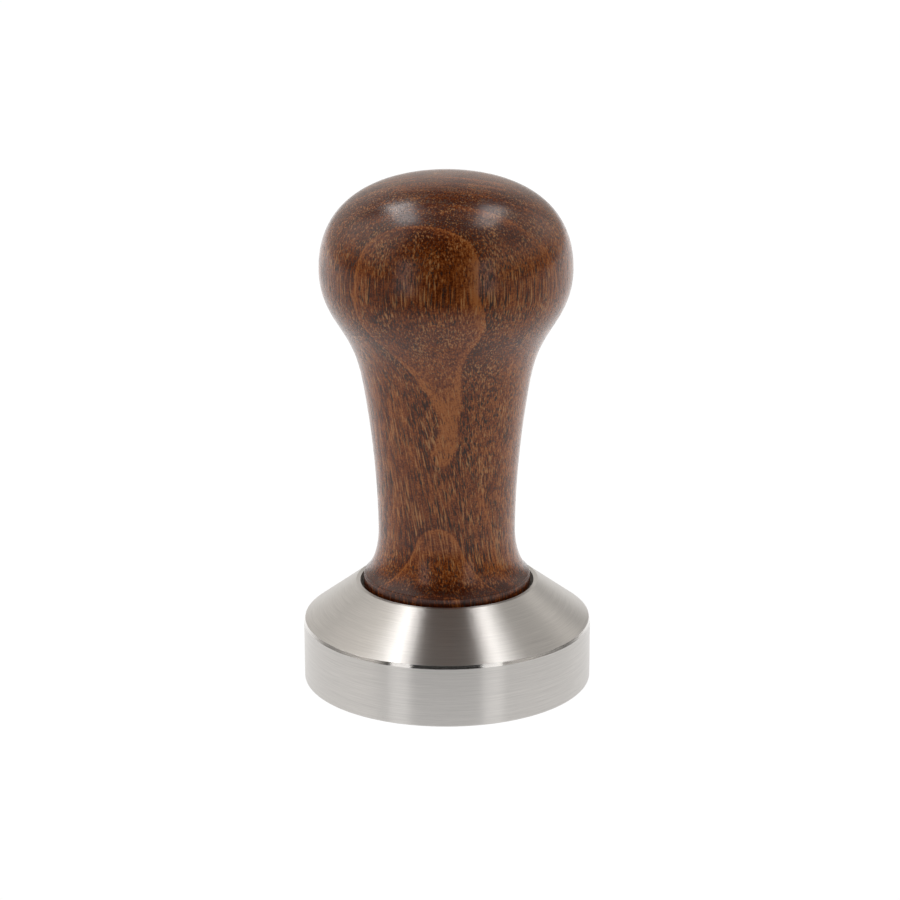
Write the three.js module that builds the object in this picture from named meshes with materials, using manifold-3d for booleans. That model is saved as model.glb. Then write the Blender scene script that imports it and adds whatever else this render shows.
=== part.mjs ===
// Espresso tamper: a turned steel base, a turned wooden handle that screws onto it, and the
// hardware between them. Millimetres, +Z up. The origin is the centre of the tamping face, and
// the axis of every piece is the Z axis. The threads are right-handed, so the handle unscrews
// counter-clockwise seen from above and climbs one pitch of the stud each turn.
import * as THREE from 'three';
import { mergeVertices } from 'three/addons/utils/BufferGeometryUtils.js';
import Module from 'manifold-3d';

const wasm = await Module();
wasm.setup();

// ---- driving dimensions, mm ----
const BASE_DIAMETER = 57;
const WALL_HEIGHT = 11.7; // straight wall that runs in the filter basket
const BASE_HEIGHT = 19.95;
const RIM_RADIUS = 18.0; // where the cone ends at the top
const RECESS_RADIUS = 17.15;
const RECESS_DEPTH = 2.95;
const WALL_BEVEL = { width: 0.25, height: 0.61 }; // between the wall and the cone
const EDGE_BREAK = 0.2;

// The handle's outline is a smooth chain of cubic curves through these rings. A ring's flare is
// how fast its radius grows with height; below and above are how far up and down its tangent
// steers the curve.
const CROWN = { height: 101.3, flat: 5.9 };
const HEAD = { radius: 24.4, height: 82.9, flare: 0, below: 5.0, above: 17.2 }; // widest
const SHOULDER = { radius: 20.65, height: 72.0, flare: 0.637, below: 5.6, above: 2.8 };
const NECK = { radius: 15.2, height: 54.0, flare: 0.143, below: 9.0, above: 9.6 };
const WAIST = { radius: 13.45, height: 30.4, flare: 0, below: 1.3, above: 5.2 };
const FOOT_FLARE = { radius: 16.35, height: 21.6, flare: -1.16, above: 2.27 };
const FOOT_GROOVE = { radius: 16.27, height: 21.42 }; // fine line cut round the foot
const FOOT = { radius: 16.45, beadTop: 21.25, chamfer: 0.3 }; // bead that stands in the recess

const WASHER = { thickness: 0.6, outerRadius: 15.5, innerRadius: 4.9 };

const STUD_PITCH = 1.25; // M8 coarse
const STUD_THREAD = { crest: 3.93, root: 3.2, crestWidth: 0.16, rootWidth: 0.95 };
const STUD_CHAMFER = 0.8;
const STUD_BOTTOM = 6.5;
const STUD_TOP = 30.0;
const TAPPED_HOLE_BOTTOM = 5.0;
const STUD_CLEARANCE = { radial: 0.28, axial: 0.15 };

const INSERT_PITCH = 3.0; // coarse thread that bites in the wood
const INSERT_THREAD = { crest: 6.4, root: 5.5, crestWidth: 0.5, rootWidth: 1.7 };
const INSERT_LENGTH = 14.4;
const INSERT_CHAMFER = 0.9;
const INSERT_CLEARANCE = { radial: 0.25, axial: 0.15 };
const INSERT_SETBACK = 0.4; // the insert sits this far up inside the foot
const BORE_SPARE = 2.0; // drilled past the end of the insert

const BASE_SIDES = 72;
const HANDLE_SIDES = 48;
const STUD_SIDES = 16;
const INSERT_SIDES = 20;
const CURVE_STEPS = 7; // per stretch of the handle's outline
const OVERRUN = 1; // how far a cutting tool runs past the face it enters
const SPARE_TURNS = 2; // thread made past each end, then trimmed off
const MERGE_DISTANCE = 1e-5;

// ---- derived dimensions ----
const BASE_RADIUS = BASE_DIAMETER / 2;
const RECESS_FLOOR = BASE_HEIGHT - RECESS_DEPTH;
const FOOT_BOTTOM = RECESS_FLOOR + WASHER.thickness;
const INSERT_BOTTOM = FOOT_BOTTOM + INSERT_SETBACK;
const INSERT_TOP = INSERT_BOTTOM + INSERT_LENGTH;
const BORE_TOP = INSERT_TOP + BORE_SPARE;

const point = (radius, height) => new THREE.Vector2(radius, height);

// ---- booleans ----
function toManifold(geometry) {
  const bare = geometry.clone();
  bare.deleteAttribute('normal');
  bare.deleteAttribute('uv');
  const merged = mergeVertices(bare, MERGE_DISTANCE);
  return new wasm.Manifold(new wasm.Mesh({
    numProp: 3,
    vertProperties: merged.attributes.position.array,
    triVerts: new Uint32Array(merged.index.array),
  }));
}

function toGeometry(solid) {
  const mesh = solid.getMesh();
  const geometry = new THREE.BufferGeometry();
  geometry.setAttribute('position', new THREE.BufferAttribute(mesh.vertProperties, 3));
  geometry.setIndex(new THREE.BufferAttribute(mesh.triVerts, 1));
  geometry.computeVertexNormals();
  return geometry;
}

// A solid of revolution. LatheGeometry turns about Y, so its Y is laid along Z here.
function turned(outline, sides) {
  return toManifold(new THREE.LatheGeometry(outline, sides).rotateX(Math.PI / 2));
}

// ---- threads ----
// A right-hand threaded rod as one closed helical surface. Four points cross the ridge at each
// step, the flat between two turns joins the ridge to itself one turn on, and a fan from the
// axis closes each end. The ridge's middle is at height 0 at angle 0, so rods of one pitch are
// in step with each other whatever their ends.
function threadedRod(thread, pitch, sides, bottom, top) {
  const firstStep = (Math.floor(bottom / pitch) - SPARE_TURNS) * sides;
  const lastStep = (Math.ceil(top / pitch) + SPARE_TURNS) * sides;
  const section = [
    [thread.root, -thread.rootWidth / 2],
    [thread.crest, -thread.crestWidth / 2],
    [thread.crest, thread.crestWidth / 2],
    [thread.root, thread.rootWidth / 2],
  ];
  const positions = [];
  const indices = [];
  const steps = lastStep - firstStep;
  for (let step = 0; step <= steps; step += 1) {
    const turns = (firstStep + step) / sides;
    const angle = 2 * Math.PI * turns;
    for (const [radius, offset] of section) {
      positions.push(radius * Math.cos(angle), radius * Math.sin(angle), turns * pitch + offset);
    }
  }
  const ridge = (step, corner) => step * section.length + corner;
  const quad = (a, b, c, d) => indices.push(a, b, c, a, c, d);
  for (let step = 0; step < steps; step += 1) {
    for (let corner = 0; corner < section.length - 1; corner += 1) {
      quad(ridge(step, corner), ridge(step + 1, corner),
        ridge(step + 1, corner + 1), ridge(step, corner + 1));
    }
    if (step + sides < steps) {
      quad(ridge(step, 3), ridge(step + 1, 3),
        ridge(step + 1 + sides, 0), ridge(step + sides, 0));
    }
  }
  const lowCentre = positions.length / 3;
  positions.push(0, 0, (firstStep / sides) * pitch - thread.rootWidth / 2);
  const highCentre = lowCentre + 1;
  positions.push(0, 0, (lastStep / sides) * pitch + thread.rootWidth / 2);
  for (let step = 0; step < sides; step += 1) {
    indices.push(lowCentre, ridge(step + 1, 0), ridge(step, 0));
    indices.push(highCentre, ridge(steps - sides + step, 3), ridge(steps - sides + step + 1, 3));
  }
  const lowStep = [0, 1, 2, 3].map((corner) => ridge(0, corner)).concat(ridge(sides, 0));
  const highStep = [3, 2, 1, 0].map((corner) => ridge(steps, corner))
    .concat(ridge(steps - sides, 3));
  for (const [centre, edge] of [[lowCentre, lowStep], [highCentre, highStep]]) {
    for (let corner = 0; corner < edge.length - 1; corner += 1) {
      indices.push(centre, edge[corner], edge[corner + 1]);
    }
  }
  const geometry = new THREE.BufferGeometry();
  geometry.setAttribute('position', new THREE.Float32BufferAttribute(positions, 3));
  geometry.setIndex(indices);
  return toManifold(geometry);
}

// The same thread, larger all over by its clearance: the tool that cuts the matching hole.
function tapFor(thread, clearance) {
  const slope = (thread.rootWidth - thread.crestWidth) / (thread.crest - thread.root);
  const root = thread.root + clearance.radial;
  const crest = thread.crest + clearance.radial;
  const rootWidth = thread.rootWidth - slope * clearance.radial + 2 * clearance.axial;
  const crestWidth = thread.crestWidth - slope * clearance.radial + 2 * clearance.axial;
  return { root, crest, rootWidth, crestWidth: Math.max(crestWidth, thread.crestWidth) };
}

// A threaded rod with flat ends whose edges are chamfered at 45 degrees.
function trimmedRod(thread, pitch, sides, bottom, top, chamfer) {
  const endRadius = thread.crest - chamfer;
  const clearRadius = thread.crest + OVERRUN;
  const envelope = turned([
    point(0, bottom),
    point(endRadius, bottom),
    point(clearRadius, bottom + clearRadius - endRadius),
    point(clearRadius, top - clearRadius + endRadius),
    point(endRadius, top),
    point(0, top),
  ], sides);
  return threadedRod(thread, pitch, sides, bottom, top).intersect(envelope);
}

// ---- pieces ----
function tamperBase() {
  const bevelRadius = BASE_RADIUS - WALL_BEVEL.width;
  const body = turned([
    point(0, 0),
    point(BASE_RADIUS - EDGE_BREAK, 0),
    point(BASE_RADIUS, EDGE_BREAK),
    point(BASE_RADIUS, WALL_HEIGHT),
    point(bevelRadius, WALL_HEIGHT + WALL_BEVEL.height),
    point(RIM_RADIUS, BASE_HEIGHT - EDGE_BREAK / 2),
    point(RIM_RADIUS - EDGE_BREAK, BASE_HEIGHT),
    point(RECESS_RADIUS + EDGE_BREAK, BASE_HEIGHT),
    point(RECESS_RADIUS, BASE_HEIGHT - EDGE_BREAK),
    point(RECESS_RADIUS, RECESS_FLOOR),
    point(0, RECESS_FLOOR),
  ], BASE_SIDES);
  const tap = tapFor(STUD_THREAD, STUD_CLEARANCE);
  const above = RECESS_FLOOR + 2 * OVERRUN;
  const hole = trimmedRod(tap, STUD_PITCH, STUD_SIDES, TAPPED_HOLE_BOTTOM, above, STUD_CHAMFER);
  const countersink = turned([
    point(0, RECESS_FLOOR - tap.crest),
    point(tap.crest + OVERRUN, RECESS_FLOOR + OVERRUN),
    point(0, RECESS_FLOOR + OVERRUN),
  ], STUD_SIDES);
  return body.subtract(hole).subtract(countersink);
}

function seatWasher() {
  return turned([
    point(WASHER.innerRadius, RECESS_FLOOR),
    point(WASHER.outerRadius, RECESS_FLOOR),
    point(WASHER.outerRadius, FOOT_BOTTOM),
    point(WASHER.innerRadius, FOOT_BOTTOM),
    point(WASHER.innerRadius, RECESS_FLOOR),
  ], HANDLE_SIDES);
}

// One stretch of the handle's outline, from a lower ring to the ring above it.
function stretch(low, high) {
  const curve = new THREE.CubicBezierCurve(
    point(low.radius, low.height),
    point(low.radius + low.flare * low.above, low.height + low.above),
    point(high.radius - high.flare * high.below, high.height - high.below),
    point(high.radius, high.height),
  );
  return curve.getPoints(CURVE_STEPS).slice(1);
}

function crownStretch() {
  const curve = new THREE.CubicBezierCurve(
    point(HEAD.radius, HEAD.height),
    point(HEAD.radius, HEAD.height + HEAD.above),
    point(CROWN.flat, CROWN.height),
    point(0, CROWN.height),
  );
  return curve.getPoints(2 * CURVE_STEPS).slice(1);
}

function turnedHandle() {
  const body = turned([
    point(0, FOOT_BOTTOM),
    point(FOOT.radius - FOOT.chamfer, FOOT_BOTTOM),
    point(FOOT.radius, FOOT_BOTTOM + FOOT.chamfer),
    point(FOOT.radius, FOOT.beadTop),
    point(FOOT_GROOVE.radius, FOOT_GROOVE.height),
    point(FOOT_FLARE.radius, FOOT_FLARE.height),
    ...stretch(FOOT_FLARE, WAIST),
    ...stretch(WAIST, NECK),
    ...stretch(NECK, SHOULDER),
    ...stretch(SHOULDER, HEAD),
    ...crownStretch(),
  ], HANDLE_SIDES);
  const tap = tapFor(INSERT_THREAD, INSERT_CLEARANCE);
  const below = FOOT_BOTTOM - 2 * OVERRUN;
  const drill = turned([
    point(0, below),
    point(tap.root, below),
    point(tap.root, BORE_TOP),
    point(0, BORE_TOP + tap.root / 2),
  ], INSERT_SIDES);
  const groove = trimmedRod(tap, INSERT_PITCH, INSERT_SIDES, below, BORE_TOP, tap.crest - tap.root);
  return body.subtract(drill.add(groove));
}

function threadedInsert() {
  const body = trimmedRod(
    INSERT_THREAD, INSERT_PITCH, INSERT_SIDES, INSERT_BOTTOM, INSERT_TOP, INSERT_CHAMFER);
  const tap = tapFor(STUD_THREAD, STUD_CLEARANCE);
  const hole = trimmedRod(
    tap, STUD_PITCH, STUD_SIDES, INSERT_BOTTOM - 2 * OVERRUN, INSERT_TOP + 2 * OVERRUN, 0);
  return body.subtract(hole);
}

function threadedStud() {
  return trimmedRod(
    STUD_THREAD, STUD_PITCH, STUD_SIDES, STUD_BOTTOM, STUD_TOP, STUD_CHAMFER);
}

// ---- assembly ----
function addPiece(group, name, solid, color, roughness, metalness) {
  const material = new THREE.MeshStandardMaterial({ color, roughness, metalness });
  const mesh = new THREE.Mesh(toGeometry(solid), material);
  mesh.name = name;
  group.add(mesh);
}

const tamper = new THREE.Group();
addPiece(tamper, 'tamper_base', tamperBase(), 0xb9b5b0, 0.3, 1);
addPiece(tamper, 'seat_washer', seatWasher(), 0x1c1a19, 0.8, 0);
addPiece(tamper, 'turned_handle', turnedHandle(), 0x5a3420, 0.4, 0);
addPiece(tamper, 'threaded_insert', threadedInsert(), 0xb08d4a, 0.35, 1);
addPiece(tamper, 'threaded_stud', threadedStud(), 0x9a9a9a, 0.35, 1);

export default tamper;
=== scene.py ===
"""Espresso tamper: a turned steel base and a turned, stained wooden grip that screws onto it.

Lengths are in millimetres in the code and become metres as they enter Blender. Every piece is
turned about the Z axis, so its shape is an outline of (radius, height) points.
"""

import math
from collections import namedtuple

import bpy
import numpy as np
from mathutils import Matrix, Vector


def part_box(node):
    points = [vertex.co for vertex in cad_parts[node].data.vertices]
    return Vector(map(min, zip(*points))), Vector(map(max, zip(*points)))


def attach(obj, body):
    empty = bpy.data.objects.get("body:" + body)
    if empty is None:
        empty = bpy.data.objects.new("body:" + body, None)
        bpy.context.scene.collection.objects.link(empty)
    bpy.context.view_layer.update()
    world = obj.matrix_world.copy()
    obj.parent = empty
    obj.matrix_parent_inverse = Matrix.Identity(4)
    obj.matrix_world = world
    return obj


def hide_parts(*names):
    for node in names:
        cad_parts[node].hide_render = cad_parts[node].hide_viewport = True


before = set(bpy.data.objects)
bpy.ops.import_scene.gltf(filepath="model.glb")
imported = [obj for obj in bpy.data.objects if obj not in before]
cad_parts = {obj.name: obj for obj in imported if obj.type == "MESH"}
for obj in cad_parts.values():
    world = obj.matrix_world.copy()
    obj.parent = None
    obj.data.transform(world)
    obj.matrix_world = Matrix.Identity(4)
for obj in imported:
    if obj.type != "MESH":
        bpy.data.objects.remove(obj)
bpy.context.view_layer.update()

MM = 0.001

# ---- sizes read from the frame, mm ----


def cad_span(node):
    """The node's outer radius, bottom and top."""
    low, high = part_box(node)
    return high.x / MM, low.z / MM, high.z / MM


BASE_RADIUS, _, BASE_HEIGHT = cad_span("tamper_base")
WASHER_RADIUS, RECESS_FLOOR, FOOT_BOTTOM = cad_span("seat_washer")
_, _, CROWN_HEIGHT = cad_span("turned_handle")
_, INSERT_BOTTOM, INSERT_TOP = cad_span("threaded_insert")
_, STUD_BOTTOM, STUD_TOP = cad_span("threaded_stud")

# ---- the rest of the shape, mm ----
WALL_HEIGHT = 11.7
WALL_BEVEL = (0.25, 0.61)  # in and up
RIM_RADIUS = 18.0
RECESS_RADIUS = 17.15
WASHER_HOLE = 4.9
WASHER_FILLET = 0.1
FOOT_RADIUS, BEAD_TOP = 16.45, 21.25
GROOVE_RADIUS, GROOVE_HEIGHT = 16.27, 21.42
BORE_RADIUS = 5.75
BORE_TOP = 34.4
TAPPED_HOLE_BOTTOM = 5.0
END_CHAMFER = 0.3  # on the outer thread of the stud and of the insert
MOUTH_CHAMFER = 0.4  # on the insert's inner thread

# Rings of the grip's outline: how fast the radius grows with height there, and how far below and
# above the ring its tangent steers the curve.
Ring = namedtuple("Ring", "radius height flare below above")
FLARE = Ring(16.35, 21.6, -1.16, 0.0, 2.27)
WAIST = Ring(13.45, 30.4, 0.0, 1.3, 5.2)
NECK = Ring(15.2, 54.0, 0.143, 9.0, 9.6)
SHOULDER = Ring(20.65, 72.0, 0.637, 5.6, 2.8)
HEAD = Ring(24.4, 82.9, 0.0, 5.0, 17.2)
CROWN_FLAT = 5.9

# A thread's root and crest are radii, and its widths are those of the ridge. A tap's ridge is the
# groove that it cuts.
Thread = namedtuple("Thread", "pitch root crest root_width crest_width")
STUD_THREAD = Thread(1.25, 3.2, 3.93, 0.95, 0.16)
STUD_TAP = Thread(1.25, 3.48, 4.21, 0.95, 0.16)
INSERT_THREAD = Thread(3.0, 5.5, 6.4, 1.7, 0.5)
THREAD_RUN_OUT = 0.8

# ---- how finely the meshes are made ----
SEGMENTS = 256
THREAD_SEGMENTS = 96
RINGS_PER_TURN = 14  # of a thread
STRETCH_RINGS = 22
CROWN_RINGS = 48
FILLET_RINGS = 5
SHARP_ANGLE = 50  # degrees between faces, above which an edge is shaded sharp
ARC_STEER = 0.45  # share of a fillet's reach that makes its curve close to an arc
MOST_OF_EDGE = 0.45  # share of an edge that one fillet may take
SUPPORT = 0.12  # distance of the ring that keeps a flat flat beside a fillet, mm
SUPPORT_OF_EDGE = 0.1  # and the most that it may be, as a share of the edge
ON_AXIS = 1e-6  # a point with a smaller radius is on the axis, mm


# ---- mesh code ----
def bezier(start, steer_start, steer_end, end, steps):
    """Points of a cubic curve after its start."""
    t = np.linspace(0, 1, steps + 1)[1:, None]
    corners = [np.array(p, float) for p in (start, steer_start, steer_end, end)]
    weights = ((1 - t) ** 3, 3 * t * (1 - t) ** 2, 3 * t * t * (1 - t), t**3)
    return [tuple(p) for p in sum(w * c for w, c in zip(weights, corners))]


def stretch(low, high):
    """The grip's outline from one ring up to the next."""
    return bezier(
        (low.radius, low.height),
        (low.radius + low.flare * low.above, low.height + low.above),
        (high.radius - high.flare * high.below, high.height - high.below),
        (high.radius, high.height),
        STRETCH_RINGS,
    )


def rounded(corners, steps=FILLET_RINGS):
    """An outline with each corner (radius, height, fillet) turned into an arc of that fillet."""
    points = []
    for i, (r, z, fillet) in enumerate(corners):
        here = np.array((r, z))
        if fillet == 0:
            points.append((r, z))
            continue
        back = np.array(corners[i - 1][:2]) - here
        on = np.array(corners[(i + 1) % len(corners)][:2]) - here
        back_length, on_length = np.linalg.norm(back), np.linalg.norm(on)
        back, on = back / back_length, on / on_length
        half = math.acos(np.clip(back @ on, -1, 1)) / 2
        reach = min(fillet / math.tan(half), MOST_OF_EDGE * back_length, MOST_OF_EDGE * on_length)
        arc = bezier(here + back * reach, here + back * reach * ARC_STEER,
                     here + on * reach * ARC_STEER, here + on * reach, steps)
        support_back = min(SUPPORT, SUPPORT_OF_EDGE * back_length)
        support_on = min(SUPPORT, SUPPORT_OF_EDGE * on_length)
        points.append(tuple(here + back * (reach + support_back)))
        points.append(tuple(here + back * reach))
        points += arc
        points.append(tuple(here + on * (reach + support_on)))
    return points


def threaded(thread, bottom, top):
    """Outline points up a threaded wall: each is the thread, a height and the ridge's fade there."""
    count = round((top - bottom) / thread.pitch * RINGS_PER_TURN)
    points = []
    for z in np.linspace(bottom, top, count + 1):
        fade = min(1.0, (z - bottom) / THREAD_RUN_OUT, (top - z) / THREAD_RUN_OUT)
        points.append((thread, z, fade))
    return points


def ring_of(point, angles):
    """The radii and height of the ring of vertices at an outline point, in mm."""
    if len(point) == 2:
        radius, height = point
        return np.full(len(angles), float(radius)), float(height)
    thread, height, fade = point
    phase = height / thread.pitch - angles / (2 * math.pi)
    offset = np.abs(phase - np.round(phase)) * thread.pitch
    flank = (thread.root_width - thread.crest_width) / 2
    ridge = np.clip((thread.root_width / 2 - offset) / flank, 0, 1)
    return thread.root + (thread.crest - thread.root) * ridge * fade, height


def lathe(name, outline, segments):
    """A closed solid turned about Z. The outline ends on the axis or closes on itself."""
    angles = np.arange(segments) * 2 * math.pi / segments
    turn = np.column_stack((np.cos(angles), np.sin(angles)))
    vertices, rows = [], []
    for point in outline:
        radii, height = ring_of(point, angles)
        if radii.max() < ON_AXIS:
            rows.append([len(vertices)])
            vertices.append((0.0, 0.0, height * MM))
            continue
        rows.append(range(len(vertices), len(vertices) + segments))
        places = turn * radii[:, None] * MM
        vertices += [(x, y, height * MM) for x, y in places]
    ends_on_axis = len(rows[0]) == 1
    pairs = list(zip(rows[:-1], rows[1:])) + ([] if ends_on_axis else [(rows[-1], rows[0])])
    faces = []
    for low, high in pairs:
        for i in range(segments):
            j = (i + 1) % segments
            corners = [low[i % len(low)], low[j % len(low)], high[j % len(high)], high[i % len(high)]]
            faces.append(list(dict.fromkeys(corners)))
    mesh = bpy.data.meshes.new(name)
    mesh.from_pydata(vertices, [], faces)
    mesh.shade_smooth()
    mesh.set_sharp_from_angle(angle=math.radians(SHARP_ANGLE))
    piece = bpy.data.objects.new(name, mesh)
    bpy.context.collection.objects.link(piece)
    return piece


def add_piece(name, outline, node, body, material, segments=SEGMENTS):
    """A finished mesh that stands for a CAD node, rides on its body and wears its material."""
    piece = lathe(name, outline, segments)
    piece.data.materials.append(material)
    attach(piece, body)
    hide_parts(node)
    return piece


# ---- node graphs written as formulas ----
class Field:
    """A number that varies over a surface: a node socket that arithmetic can be done with."""

    def __init__(self, graph, socket):
        self.graph = graph
        self.socket = socket

    def __add__(self, other):
        return self.graph.math("ADD", self, other)

    def __sub__(self, other):
        return self.graph.math("SUBTRACT", self, other)

    def __rsub__(self, other):
        return self.graph.math("SUBTRACT", other, self)

    def __mul__(self, other):
        return self.graph.math("MULTIPLY", self, other)

    def __truediv__(self, other):
        return self.graph.math("DIVIDE", self, other)

    __radd__ = __add__


class Graph:
    """Builds the nodes of one material or world."""

    def __init__(self, tree):
        self.tree = tree
        tree.nodes.clear()

    def node(self, kind, inputs=(), **settings):
        made = self.tree.nodes.new(kind)
        for key, value in settings.items():
            setattr(made, key, value)
        for key, value in dict(inputs).items():
            self.feed(made.inputs[key], value)
        return made

    def feed(self, target, value):
        if isinstance(value, Field):
            value = value.socket
        if isinstance(value, bpy.types.NodeSocket):
            self.tree.links.new(value, target)
        else:
            target.default_value = value

    def math(self, operation, *values):
        made = self.node("ShaderNodeMath", operation=operation)
        for target, value in zip(made.inputs, values):
            self.feed(target, value)
        return Field(self, made.outputs[0])

    def place(self, output="Object", scale=1 / MM):
        """The x, y and z of the surface point in mm, or of a world's direction at a scale of 1."""
        coordinates = self.node("ShaderNodeTexCoord").outputs[output]
        scaled = self.node("ShaderNodeVectorMath", {0: coordinates}, operation="SCALE")
        scaled.inputs["Scale"].default_value = scale
        split = self.node("ShaderNodeSeparateXYZ", {0: scaled.outputs[0]})
        return [Field(self, split.outputs[i]) for i in range(3)]

    def vector(self, x, y, z):
        return self.node("ShaderNodeCombineXYZ", {0: x, 1: y, 2: z}).outputs[0]

    def hill(self, value, centre, width):
        """A smooth hill: 1 at the centre, falling to about a third one width away."""
        away = (value - centre) / width
        return self.math("EXPONENT", away * away * -1.0)

    def ramp(self, value, low, high, start=0.0, end=1.0):
        """A smooth step from start to end as the value goes from low to high."""
        made = self.node("ShaderNodeMapRange", interpolation_type="SMOOTHSTEP")
        for key, number in zip(("Value", "From Min", "From Max", "To Min", "To Max"),
                               (value, low, high, start, end)):
            self.feed(made.inputs[key], number)
        return Field(self, made.outputs[0])

    def noise(self, vector, detail=2.0, roughness=0.5):
        made = self.node("ShaderNodeTexNoise", {
            "Vector": vector, "Scale": 1.0, "Detail": detail, "Roughness": roughness})
        return Field(self, made.outputs[0])

    def mix(self, amount, first, second):
        made = self.node("ShaderNodeMix", data_type="RGBA")
        self.feed(made.inputs[0], amount)
        for target, colour in ((made.inputs[6], first), (made.inputs[7], second)):
            self.feed(target, colour)
        return made.outputs[2]

    def seen_white(self, glow, tint=(1, 1, 1)):
        """A tinted glow, but plain white where the camera looks straight at it."""
        tinted = self.node("ShaderNodeVectorMath", {0: tint, "Scale": glow}, operation="SCALE")
        seen = self.node("ShaderNodeLightPath").outputs["Is Camera Ray"]
        return self.mix(seen, tinted.outputs[0], SEEN_WHITE)

    def bump(self, height, strength, distance):
        """A normal from small relief, whose distance is in mm."""
        made = self.node("ShaderNodeBump", {
            "Height": height, "Strength": strength, "Distance": distance * MM})
        return made.outputs[0]

    def principled(self, **inputs):
        shader = self.node("ShaderNodeBsdfPrincipled")
        for key, value in inputs.items():
            self.feed(shader.inputs[key.replace("_", " ")], value)
        return shader

    def finish(self, shader):
        self.node("ShaderNodeOutputMaterial", {"Surface": shader.outputs[0]})


def new_material(name):
    material = bpy.data.materials.new(name)
    material.use_nodes = True
    return material, Graph(material.node_tree)


# ---- wood ----
# Stained wood from palest to darkest, and the dark filler in the pores.
FLECK_WOOD = (0.430, 0.205, 0.080, 1)
TAN_WOOD = (0.390, 0.128, 0.030, 1)
RED_WOOD = (0.180, 0.040, 0.006, 1)
DEEP_WOOD = (0.064, 0.011, 0.002, 1)
PORE_BROWN = (0.030, 0.012, 0.006, 1)

GRAIN_LEAN = 0.15  # sideways drift of the grain per mm down, below GRAIN_BEND
GRAIN_BEND = 72.0
RING_RADIUS = 60.0  # of the growth ring whose outline shows as the oval
RING_SPACING = 3.5

# The pith would meet the floor at (PITH_X, PITH_Y) and leans towards -X and -Y on its way up. It
# also bends at three heights. A bend has a middle height and a half-width, and says how far the
# pith swings towards -X and reaches towards -Y.
PITH_X, PITH_Y = 6.85, 47.74
LEAN_X, LEAN_Y = 0.013, 0.030  # per mm up
HEAD_BEND, HEAD_SWING, HEAD_REACH = (83.0, 15.2), 11.55, 10.16
THROAT_BEND, THROAT_SWING, THROAT_REACH = (57.1, 8.9), 7.55, 1.12
WAIST_BEND, WAIST_REACH = (40.6, 5.9), 1.84
HEAD_REACH_SIDES = (8.7, 25.6)  # the X where the head's reach is whole, and the width of its fade

# A year, in shares of its width: the pale line's rise and fall, where the clear wood ends and
# where the pores crowd, with what those two do to the pores.
LINE_RISE, LINE_FALL = (0.0, 0.02), (0.025, 0.10)
CLEAR_END, CLEAR = (0.08, 0.29), -0.7
CROWDED_START, CROWDED = (0.70, 0.95), 0.3
# Distances from the ring, in years, at which the years are faint and plain, and how faint.
YEARS_FAINT, YEARS_PLAIN = -1.2, -0.5
FAINT = 0.4

# Sizes of patches, across the grain and along it, and the noise at the edge of a pore or fleck.
PORE_SIZE, PORE_CLUMPS = (0.25, 4.2), (2.2, 9.0)
FIBRE_SIZE, FIBRE_CLUMPS = (0.30, 5.0), (3.5, 9.0)
MOTTLE_SIZE, STAIN_SIZE = (0.36, 0.32), (3.2, 2.4)
BAND_DEPTH, BAND_WIDTH, BAND_LENGTH = 1.1, 18, 26
PORE_EDGE, FLECK_EDGE = (0.56, 0.60), (0.54, 0.70)

# Where the neck, the foot's painted shade, the flecks' fading into that shade and the left side give
# way to what is next to them, mm.
NECK_END, FOOT_SHADE_END = (60.0, 76.0), (19.5, 26.0)
FLECKS_SHADE_END = (20.5, 27.0)
LEFT_SIDE_END = (-2.0, 12.0)

# The tone runs from 0, darkest, to about 1.3, palest. These say how much each thing moves it.
MIDDLE_TONE = 0.48
EDGE_LINE_TONE = 0.44
STAIN_CONTRAST = 0.8
MOTTLE_CONTRAST = 2.1
FIBRE_CONTRAST = 2.6
BAND_CONTRAST, END_GRAIN_BAND_CONTRAST = 0.9, 1.5
END_GRAIN_TONE = 0.60
NECK_TONE = 0.10
# Painted shade: the wood darkens towards the foot, where it stands in the steel recess.
FOOT_SHADE_TONE = 0.62
RIGHT_SIDE_TONE = 0.17
# Painted light: the crown is lighter where it faces straight up.
CROWN_TOP_LIGHT = 0.22

PORE_COVER = 0.96
VARNISH_ROUGHNESS = 0.225
PORE_ROUGHNESS = 0.12  # more than the varnish's
VARNISH_SPECULAR = 0.355
WOOD_RELIEF = 0.014  # mm


def growth_depth(g, x, y, z):
    """Distance outside the growth ring that shows as the oval, in mm, and negative within it.

    The rings are round a pith behind the grip. The pith comes nearer at the head's height, swings
    aside at the throat and comes nearer again at the waist, so that the ring meets the turned
    surface as an oval on the head, a tongue down the neck and an arch on the foot.
    """
    head, throat, waist = (g.hill(z, *bend) for bend in (HEAD_BEND, THROAT_BEND, WAIST_BEND))
    swell = head * g.hill(x, *HEAD_REACH_SIDES)
    pith_x = PITH_X - z * LEAN_X - throat * THROAT_SWING - head * HEAD_SWING
    pith_y = (PITH_Y - z * LEAN_Y - swell * HEAD_REACH - throat * THROAT_REACH
              - waist * WAIST_REACH)
    across, behind = x - pith_x, y - pith_y
    return g.math("SQRT", across * across + behind * behind) - RING_RADIUS


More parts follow.
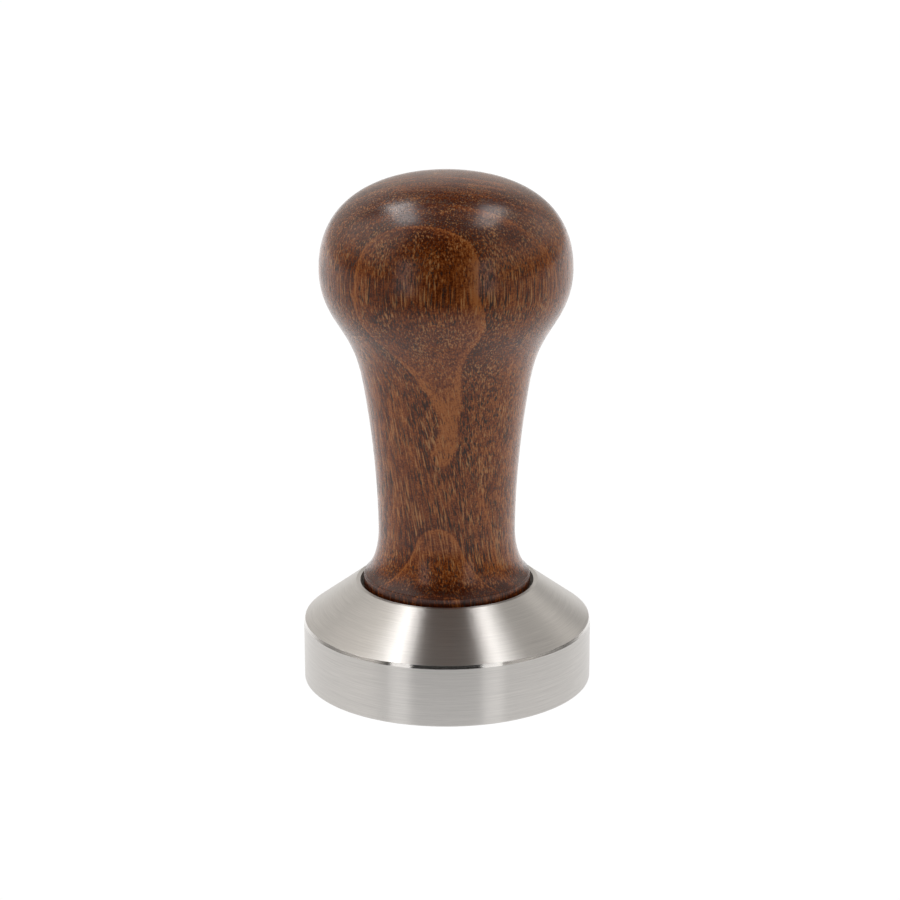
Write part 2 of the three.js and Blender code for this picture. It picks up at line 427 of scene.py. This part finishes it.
def wood():
    """Stained, satin-varnished wood, solid all through: pores as dark dashes, fibres as pale ones."""
    material, g = new_material("stained_wood")
    x, y, z = g.place()
    across = x + g.math("MINIMUM", z - GRAIN_BEND, 0.0) * GRAIN_LEAN
    outside = growth_depth(g, x, y, z)

    def patches(size, sideways, shift=0.0, **options):
        """Noise with patches of a size. A shift gives another pattern of the same kind."""
        width, length = size
        return g.noise(g.vector(sideways / width, y / width, z / length + shift), **options)

    # Each year starts with a pale line and clear wood, and ends with crowded pores. The years
    # show less well within the ring.
    age = outside / RING_SPACING
    year = age - g.math("FLOOR", age)
    shown = g.ramp(outside, YEARS_FAINT * RING_SPACING, YEARS_PLAIN * RING_SPACING, FAINT, 1.0)
    edge_line = g.ramp(year, *LINE_RISE) * g.ramp(year, *LINE_FALL, 1.0, 0.0)
    porous = (g.ramp(year, *CLEAR_END, CLEAR, 0.0)
              + g.ramp(year, *CROWDED_START, 0.0, CROWDED)) * shown

    pore_streaks = patches(PORE_SIZE, across, roughness=0.6)
    pore_clumps = patches(PORE_CLUMPS, across)
    pores = g.ramp(pore_streaks + porous * 0.10 + (pore_clumps - 0.5) * 0.18, *PORE_EDGE)
    fibre = patches(FIBRE_SIZE, across, shift=40, roughness=0.6)
    fibre_clumps = patches(FIBRE_CLUMPS, across, shift=12, detail=1.0)
    flecks = g.ramp(fibre + porous * 0.04 + (fibre_clumps - 0.5) * 0.3, *FLECK_EDGE)
    mottle = patches(MOTTLE_SIZE, x, roughness=0.6)
    stain = patches(STAIN_SIZE, x, detail=3.0, roughness=0.55)
    bands = g.noise(g.vector(outside / BAND_DEPTH, across / BAND_WIDTH, z / BAND_LENGTH), detail=3.0)

    facing_up = g.node("ShaderNodeSeparateXYZ", {
        0: g.node("ShaderNodeTexCoord").outputs["Normal"]}).outputs[2]
    end_grain = g.ramp(g.math("ABSOLUTE", facing_up), 0.25, 0.95)
    band_contrast = end_grain * END_GRAIN_BAND_CONTRAST + BAND_CONTRAST
    tone = (
        (g.ramp(year, 0.0, 1.0, 0.10, -0.04) + edge_line * EDGE_LINE_TONE) * shown
        + (stain - 0.5) * STAIN_CONTRAST
        + (mottle - 0.5) * MOTTLE_CONTRAST
        + (fibre - 0.5) * FIBRE_CONTRAST
        + (bands - 0.5) * band_contrast
        - end_grain * END_GRAIN_TONE
        + g.ramp(z, *NECK_END, NECK_TONE, 0.0)
        # painted shade, darker towards the foot in the recess
        - g.ramp(z, *FOOT_SHADE_END, FOOT_SHADE_TONE, 0.0)
        + g.ramp(x, *LEFT_SIDE_END, 0.0, RIGHT_SIDE_TONE)
        # painted light on the crown's top
        + g.ramp(facing_up, 0.90, 0.98, 0.0, CROWN_TOP_LIGHT)
        + MIDDLE_TONE
    )
    deep_to_red = g.mix(g.ramp(tone, 0.0, 0.5), DEEP_WOOD, RED_WOOD)
    # the stained colour also carries the painted shade at the foot and the painted light on the crown
    stain_and_painted_light = g.mix(g.ramp(tone, 0.4, 1.32), deep_to_red, TAN_WOOD)
    # the pale flecks fade out towards the foot as part of its painted shade
    out_of_foot_shade = g.ramp(z, *FLECKS_SHADE_END, 0.1, 0.9)
    flecked = g.mix(flecks * out_of_foot_shade, stain_and_painted_light, FLECK_WOOD)
    colour = g.mix(pores * PORE_COVER, flecked, PORE_BROWN)
    g.finish(g.principled(
        Base_Color=colour, Roughness=pores * PORE_ROUGHNESS + VARNISH_ROUGHNESS,
        Specular_IOR_Level=VARNISH_SPECULAR,
        Normal=g.bump(fibre * 0.3 + mottle * 0.5 - pores, 0.35, WOOD_RELIEF)))
    return material


# ---- metals and washer ----
STEEL_GREY = (0.60, 0.578, 0.555)
BRASS_YELLOW = (0.72, 0.52, 0.22)
ZINC_GREY = (0.56, 0.56, 0.55)
METAL_SHARE = 0.92  # the rest scatters light, as scratches do

# Marks of the tool: how many in a mm along the outline, and in a radian round it.
FINE_MARKS, COARSE_MARKS, COMB_MARKS = (5.0, 3.0), (1.6, 1.5), (3.5, 14.0)
FINE_SHARE = 0.75
MARK_CONTRAST = 0.34  # share of the colour, lighter and darker
MARK_ROUGHNESS = 0.16
GROOVE_RELIEF = 0.03  # mm
QUARTER_TURN = 0.25  # turns the shader's long axis of gloss from round the axis to along the slope
BAND_ROUGHNESS = 0.13
BAND_EDGE = 0.03  # half the width of a bright band's edge, mm

# The washer's near-black fibre is painted shade: it darkens the gap between the grip's foot and the
# recess wall.
FIBRE_SHADE_DARK = (0.012, 0.011, 0.010, 1)
FIBRE_SHADE_PALE = (0.035, 0.032, 0.029, 1)
FELT_SIZE = 1 / 3  # mm
FELT_ROUGHNESS = 0.85
FELT_RELIEF = 0.05  # mm


def turned_metal(name, colour, roughness, grooves, anisotropy, bright_band=None):
    """Metal with the fine circular marks of a lathe tool and of polishing while it turns.

    A bright band is a pair of heights that the metal is glossier between.
    """
    material, g = new_material(name)
    x, y, z = g.place()
    # Radius less height changes steadily along the wall, the cone and the flats alike.
    along = g.math("SQRT", x * x + y * y) - z
    angle = g.math("ARCTAN2", y, x)

    def marks_at(rates, layer, **options):
        per_mm, per_radian = rates
        return g.noise(g.vector(along * per_mm, angle * per_radian, layer), **options)

    fine = marks_at(FINE_MARKS, 0.0, detail=3.0, roughness=0.7)
    coarse = marks_at(COARSE_MARKS, 7.0)
    comb = marks_at(COMB_MARKS, 3.0, detail=1.0)
    marks = fine * FINE_SHARE + coarse * (1 - FINE_SHARE)
    darker, lighter = (
        tuple(part * share for part in colour) + (1,)
        for share in (1 - MARK_CONTRAST, 1 + MARK_CONTRAST))
    gloss = roughness + (marks - 0.5) * MARK_ROUGHNESS
    if bright_band:
        low, high = bright_band
        band = (g.ramp(z, low - BAND_EDGE, low + BAND_EDGE)
                * g.ramp(z, high - BAND_EDGE, high + BAND_EDGE, 1.0, 0.0))
        gloss = gloss - band * (roughness - BAND_ROUGHNESS)
    around = g.node("ShaderNodeTangent", direction_type="RADIAL", axis="Z")
    g.finish(g.principled(
        Base_Color=g.mix(marks, darker, lighter), Metallic=METAL_SHARE, Roughness=gloss,
        Anisotropic=anisotropy, Anisotropic_Rotation=QUARTER_TURN, Tangent=around.outputs[0],
        Normal=g.bump(fine * 0.3 + comb, grooves, GROOVE_RELIEF)))
    return material


def fibre_sheet_gap_shade():
    """Pressed black fibre with a faint felted grain. Its near-black is also painted shade for the gap
    round the grip's foot.
    """
    material, g = new_material("washer_fibre")
    felt = g.noise(g.vector(*(side / FELT_SIZE for side in g.place())), detail=5.0, roughness=0.7)
    g.finish(g.principled(
        Base_Color=g.mix(felt, FIBRE_SHADE_DARK, FIBRE_SHADE_PALE), Roughness=FELT_ROUGHNESS,
        Normal=g.bump(felt, 0.4, FELT_RELIEF)))
    return material


# ---- pieces ----
def base_outline():
    bevel_in, bevel_up = WALL_BEVEL
    outside = rounded([
        (0, 0, 0),
        (BASE_RADIUS, 0, 0.25),
        (BASE_RADIUS, WALL_HEIGHT, 0.03),
        (BASE_RADIUS - bevel_in, WALL_HEIGHT + bevel_up, 0.05),
        (RIM_RADIUS, BASE_HEIGHT, 0.12),
        (RECESS_RADIUS, BASE_HEIGHT, 0.1),
        (RECESS_RADIUS, RECESS_FLOOR, 0.3),
        (STUD_TAP.crest, RECESS_FLOOR, 0),
    ])
    countersunk = RECESS_FLOOR - (STUD_TAP.crest - STUD_TAP.root)
    hole = threaded(STUD_TAP, TAPPED_HOLE_BOTTOM + STUD_TAP.pitch, countersunk)[::-1]
    drill_point = [(STUD_TAP.root, TAPPED_HOLE_BOTTOM + STUD_TAP.root / 2), (0, TAPPED_HOLE_BOTTOM)]
    return outside + hole + drill_point


def handle_outline():
    # The last corner only says which way the outline leaves the groove, and is dropped.
    foot = rounded([
        (BORE_RADIUS, FOOT_BOTTOM, 0),
        (FOOT_RADIUS, FOOT_BOTTOM, 0.5),
        (FOOT_RADIUS, BEAD_TOP, 0.12),
        (GROOVE_RADIUS, GROOVE_HEIGHT, 0.06),
        (FLARE.radius, FLARE.height, 0.1),
        (FLARE.radius - 0.2, FLARE.height + 0.2, 0),
    ])[:-1]
    crown = bezier((HEAD.radius, HEAD.height), (HEAD.radius, HEAD.height + HEAD.above),
                   (CROWN_FLAT, CROWN_HEIGHT), (0, CROWN_HEIGHT), CROWN_RINGS)
    return (
        [(0, BORE_TOP + BORE_RADIUS / 2), (BORE_RADIUS, BORE_TOP)] + foot
        + stretch(FLARE, WAIST) + stretch(WAIST, NECK)
        + stretch(NECK, SHOULDER) + stretch(SHOULDER, HEAD) + crown
    )


def insert_outline():
    end_inner, end_outer = STUD_TAP.root + MOUTH_CHAMFER, INSERT_THREAD.root - END_CHAMFER
    outer = threaded(INSERT_THREAD, INSERT_BOTTOM + END_CHAMFER, INSERT_TOP - END_CHAMFER)
    inner = threaded(STUD_TAP, INSERT_BOTTOM + MOUTH_CHAMFER, INSERT_TOP - MOUTH_CHAMFER)[::-1]
    return (
        [(end_inner, INSERT_BOTTOM), (end_outer, INSERT_BOTTOM)] + outer
        + [(end_outer, INSERT_TOP), (end_inner, INSERT_TOP)] + inner
    )


def stud_outline():
    end = STUD_THREAD.root - END_CHAMFER
    thread = threaded(STUD_THREAD, STUD_BOTTOM + END_CHAMFER, STUD_TOP - END_CHAMFER)
    return [(0, STUD_BOTTOM), (end, STUD_BOTTOM)] + thread + [(end, STUD_TOP), (0, STUD_TOP)]


def washer_outline():
    corners = [(WASHER_HOLE, RECESS_FLOOR), (WASHER_RADIUS, RECESS_FLOOR),
               (WASHER_RADIUS, FOOT_BOTTOM), (WASHER_HOLE, FOOT_BOTTOM)]
    return rounded([(*corner, WASHER_FILLET) for corner in corners], steps=3)


def build_tamper():
    steel = turned_metal("brushed_stainless", STEEL_GREY, roughness=0.33, grooves=0.5,
                         anisotropy=1.0, bright_band=(WALL_HEIGHT, WALL_HEIGHT + WALL_BEVEL[1]))
    brass = turned_metal("machined_brass", BRASS_YELLOW, roughness=0.3, grooves=0.2,
                         anisotropy=0.4)
    zinc = turned_metal("zinc_plated_steel", ZINC_GREY, roughness=0.32, grooves=0.2,
                        anisotropy=0.4)
    add_piece("base_turning", base_outline(), "tamper_base", "base", steel)
    add_piece("fibre_washer_gap_shade", washer_outline(), "seat_washer", "washer",
              fibre_sheet_gap_shade())
    add_piece("grip_turning", handle_outline(), "turned_handle", "handle", wood())
    add_piece("brass_insert", insert_outline(), "threaded_insert", "handle",
              brass, THREAD_SEGMENTS)
    add_piece("machine_stud", stud_outline(), "threaded_stud", "handle", zinc,
              THREAD_SEGMENTS)


# ---- studio ----
CAMERA_DISTANCE = 498.4  # from the target, mm
CAMERA_TARGET = (0.67, 0, 46.46)
CAMERA_ELEVATION = 16.72  # degrees
CAMERA_LEAN = 0.144  # degrees, to the right
LENS, SENSOR = 101.9, 36  # focal length and width of the sensor, mm
CLIP_START = 0.01  # metres

SEEN_WHITE = (1.02, 1.02, 1.02, 1)
CANVAS_WHITE = (1.0, 0.965, 0.915)
FLOOR_HALF = 4.0  # metres

# Lamps: their sizes, across and along, and the points that they face, mm.
STRIP_SIZE, STRIP_AIM = (64, 180), (0, 0, 50)
PANEL_SIZE, PANEL_AIM = (112, 260), (0, 0, 130)
OVERHEAD = 0.7  # least rise from the aim to an overhead lamp, as a share of the way


def add_camera():
    """Half a metre in front of the tamper, looking down at its middle."""
    elevation, lean = math.radians(CAMERA_ELEVATION), math.radians(CAMERA_LEAN)
    forward = Vector((0, math.cos(elevation), -math.sin(elevation)))
    level = Vector((1, 0, 0))
    upright = Vector((0, math.sin(elevation), math.cos(elevation)))
    right = level * math.cos(lean) - upright * math.sin(lean)
    up = level * math.sin(lean) + upright * math.cos(lean)
    camera = bpy.data.objects.new("camera", bpy.data.cameras.new("camera"))
    bpy.context.collection.objects.link(camera)
    camera.data.sensor_width = SENSOR
    camera.data.lens = LENS
    camera.data.clip_start = CLIP_START
    turn = Matrix((right, up, -forward)).transposed().to_4x4()
    place = Vector(CAMERA_TARGET) - forward * CAMERA_DISTANCE
    camera.matrix_world = Matrix.Translation(place * MM) @ turn
    bpy.context.scene.camera = camera


def add_softbox(name, place, size, radiance, aim):
    """A rectangular panel of even light at a place in mm, facing the aim."""
    width, length = (side * MM for side in size)
    light = bpy.data.lights.new(name, "AREA")
    light.shape = "RECTANGLE"
    light.size = width
    light.size_y = length
    light.energy = math.pi * width * length * radiance
    lamp = bpy.data.objects.new(name, light)
    bpy.context.collection.objects.link(lamp)
    away = (Vector(place) - Vector(aim)).normalized()
    lengthwise = Vector((0, 1, 0)) if away.z > OVERHEAD else Vector((0, 0, 1))
    across = lengthwise.cross(away).normalized()
    turn = Matrix((across, away.cross(across), away)).transposed().to_4x4()
    lamp.matrix_world = Matrix.Translation(Vector(place) * MM) @ turn
    lamp.visible_camera = False


def add_floor():
    """A white floor, seen plain white.

    What it sends onto the tamper is nearly even close by. Far off it is bright behind the tamper,
    dimmer at the sides and dark towards the camera.
    """
    mesh = bpy.data.meshes.new("floor")
    corners = [(-1, -1), (1, -1), (1, 1), (-1, 1)]
    mesh.from_pydata([(x * FLOOR_HALF, y * FLOOR_HALF, 0) for x, y in corners], [], [(0, 1, 2, 3)])
    floor = bpy.data.objects.new("floor", mesh)
    bpy.context.collection.objects.link(floor)
    material, g = new_material("white_floor")
    x, y, _ = g.place()
    distance = g.math("SQRT", x * x + y * y)
    near = g.ramp(distance, 60, 210, 1.0, 0.0)
    back = g.math("MAXIMUM", y / distance, 0.0)
    side = (x / distance) * (x / distance)
    glow = near * (back * back * 0.4 + 1.08) + (1.0 - near) * (side * 0.6 + back * 1.4)
    g.finish(g.principled(Base_Color=(0, 0, 0, 1), Roughness=1.0, Specular_IOR_Level=0.0,
                          Emission_Color=g.seen_white(glow), Emission_Strength=1.0))
    mesh.materials.append(material)


def add_surroundings():
    """A white tent, seen plain white, whose glow onto the tamper depends on the direction.

    Its sides brighten with height and its back dims with height and to the right. Its front is
    dark, and its ceiling is faint.
    """
    world = bpy.data.worlds.new("studio")
    bpy.context.scene.world = world
    world.use_nodes = True
    g = Graph(world.node_tree)
    # The direction has a length of 1, so z is the sine of its height above level.
    x, y, z = g.place("Generated", 1.0)
    level = g.math("SQRT", x * x + y * y)
    rightward, backward = x / level, y / level
    left = g.ramp(rightward, -0.94, -0.72, 1.18, 0.0)
    right = g.ramp(rightward, 0.50, 0.88, 0.0, 0.50) * g.ramp(z, 0.35, 0.60, 1.9, 1.0)
    sides = (left + right) * g.ramp(z, 0.05, 0.55, 0.10, 1.35)
    back = (g.ramp(backward, 0.2, 0.75) * g.ramp(z, 0.45, 0.78, 0.75, 0.0)
            * g.ramp(rightward, 0.1, 0.6, 1.0, 0.6))
    ceiling = g.ramp(z, 0.84, 0.96, 0.0, 0.23)
    glow = (sides + back) * g.ramp(z, 0.82, 0.92, 1.0, 0.0) + ceiling
    background = g.node("ShaderNodeBackground", {"Color": g.seen_white(glow, CANVAS_WHITE)})
    g.node("ShaderNodeOutputWorld", {"Surface": background.outputs[0]})


def build_studio():
    """The tent, two light strips above the tamper, and two dimmer panels before it on both sides."""
    add_camera()
    add_floor()
    add_surroundings()
    add_softbox("strip_left", (-111, 66, 345), STRIP_SIZE, 7.0, STRIP_AIM)
    add_softbox("strip_right", (120, 46, 350), STRIP_SIZE, 5.1, STRIP_AIM)
    add_softbox("panel_left", (-235, -324, 130), PANEL_SIZE, 1.5, PANEL_AIM)
    add_softbox("panel_right", (229, -328, 130), PANEL_SIZE, 1.4, PANEL_AIM)
    bpy.context.scene.view_settings.view_transform = "Standard"


build_tamper()
build_studio()
